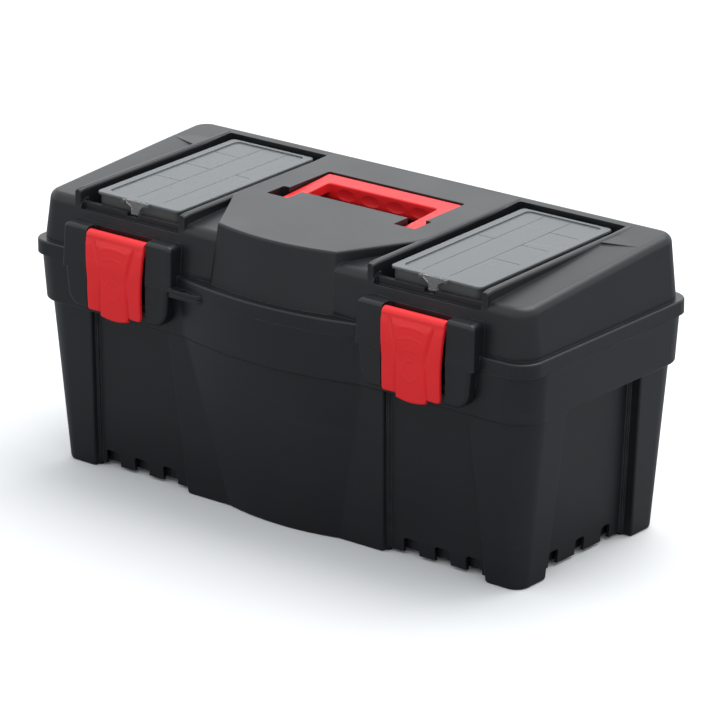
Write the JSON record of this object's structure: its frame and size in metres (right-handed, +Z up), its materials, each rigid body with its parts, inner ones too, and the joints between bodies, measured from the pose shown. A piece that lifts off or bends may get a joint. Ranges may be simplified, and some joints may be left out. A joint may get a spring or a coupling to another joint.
{
  "type": "toolbox",
  "caption": "Plastic toolbox with a hinged lid, lid organizers under clear covers, snap latches, a folding carry handle and a lift-out tool tray.",
  "frame": {"origin": "middle of the overall box's footprint, on the surface that the feet stand on", "axes": "+X along the length towards the right end, -Y towards the latches, +Z up"},
  "size_m": [0.55, 0.2668, 0.2667],
  "materials": {
    "black_plastic": "fine moulded satin",
    "red_plastic": "smooth moulded",
    "grey_plastic": "moulded, slightly translucent",
    "clear_plastic": "clear, lightly smoked",
    "steel": "drawn wire"
  },
  "bodies": {
    "tub": {"tub_body": "black_plastic", "hinge_pin_left": "steel", "hinge_pin_right": "steel"},
    "lid": {"lid_shell": "black_plastic"},
    "handle": {"carry_handle": "red_plastic"},
    "latch_left": {"latch_left": "red_plastic"},
    "latch_right": {"latch_right": "red_plastic"},
    "organizer_left": {"organizer_box_left": "grey_plastic", "organizer_divider_left_1": "grey_plastic", "organizer_divider_left_2": "grey_plastic", "organizer_divider_left_3": "grey_plastic", "organizer_divider_left_4": "grey_plastic"},
    "organizer_left_lid": {"organizer_lid_left": "clear_plastic"},
    "organizer_left_clip": {"organizer_clip_left": "clear_plastic"},
    "organizer_right": {"organizer_box_right": "grey_plastic", "organizer_divider_right_1": "grey_plastic", "organizer_divider_right_2": "grey_plastic", "organizer_divider_right_3": "grey_plastic", "organizer_divider_right_4": "grey_plastic"},
    "organizer_right_lid": {"organizer_lid_right": "clear_plastic"},
    "organizer_right_clip": {"organizer_clip_right": "clear_plastic"},
    "tray": {"tool_tray": "black_plastic", "tray_divider_left": "grey_plastic", "tray_divider_right": "grey_plastic"}
  },
  "joints": [
    {"name": "lid_hinge", "type": "hinge", "parent": "tub", "child": "lid", "pos_m": [0, 0.1268, 0.1962], "axis": [-1, 0, 0], "range_deg": [0, 105]},
    {"name": "tray_lift", "type": "slide", "parent": "tub", "child": "tray", "axis": [0, 0, 1], "range_m": [0, 0.09]},
    {"name": "handle_fold", "type": "hinge", "parent": "lid", "child": "handle", "pos_m": [0, -0.0095, 0.2545], "axis": [1, 0, 0], "range_deg": [0, 90]},
    {"name": "latch_left_swing", "type": "hinge", "parent": "lid", "child": "latch_left", "pos_m": [-0.164, -0.124, 0.2295], "axis": [-1, 0, 0], "range_deg": [0, 110]},
    {"name": "latch_right_swing", "type": "hinge", "parent": "lid", "child": "latch_right", "pos_m": [0.164, -0.124, 0.2295], "axis": [-1, 0, 0], "range_deg": [0, 110]},
    {"name": "organizer_left_lift", "type": "slide", "parent": "lid", "child": "organizer_left", "axis": [0, 0, 1], "range_m": [0, 0.04]},
    {"name": "organizer_left_lid_hinge", "type": "hinge", "parent": "organizer_left", "child": "organizer_left_lid", "pos_m": [-0.16375, 0.087, 0.2583], "axis": [-1, 0, 0], "range_deg": [0, 100]},
    {"name": "organizer_left_clip_swing", "type": "hinge", "parent": "organizer_left_lid", "child": "organizer_left_clip", "pos_m": [-0.16375, -0.1006, 0.2589], "axis": [-1, 0, 0], "range_deg": [0, 60]},
    {"name": "organizer_right_lift", "type": "slide", "parent": "lid", "child": "organizer_right", "axis": [0, 0, 1], "range_m": [0, 0.04]},
    {"name": "organizer_right_lid_hinge", "type": "hinge", "parent": "organizer_right", "child": "organizer_right_lid", "pos_m": [0.16375, 0.087, 0.2583], "axis": [-1, 0, 0], "range_deg": [0, 100]},
    {"name": "organizer_right_clip_swing", "type": "hinge", "parent": "organizer_right_lid", "child": "organizer_right_clip", "pos_m": [0.16375, -0.1006, 0.2589], "axis": [-1, 0, 0], "range_deg": [0, 60]}
  ],
  "couplings": [
    {"joint": "tray_lift", "follows": "lid_hinge", "m_per_rad": 0.049}
  ]
}
